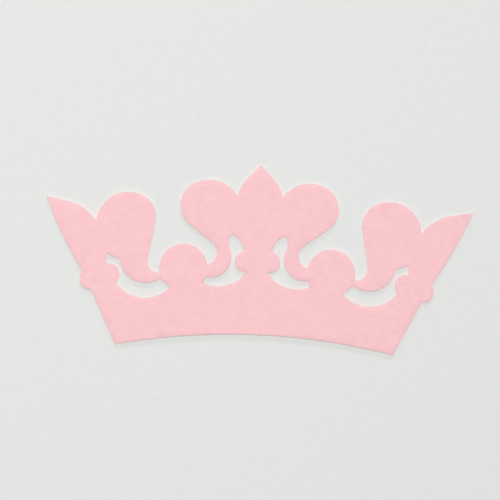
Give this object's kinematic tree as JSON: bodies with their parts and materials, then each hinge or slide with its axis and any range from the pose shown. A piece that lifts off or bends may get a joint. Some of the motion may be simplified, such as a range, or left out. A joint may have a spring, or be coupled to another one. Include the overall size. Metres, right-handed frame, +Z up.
{
  "type": "die-cut paper crown",
  "caption": "Flat die-cut card crown: pointed fleurons with round lobes, pearls between them and crescent cut-outs above a band with an arched lower edge.",
  "frame": {"origin": "middle of the crown's width and height, on the underside of the card", "axes": "+X across the crown to its right tip, +Y towards the middle point, +Z up through the card"},
  "size_m": [0.076, 0.0328, 0.0003],
  "materials": {
    "card": "matt, fine fibre grain"
  },
  "bodies": {
    "root": {"paper_crown": "card"}
  },
  "joints": []
}
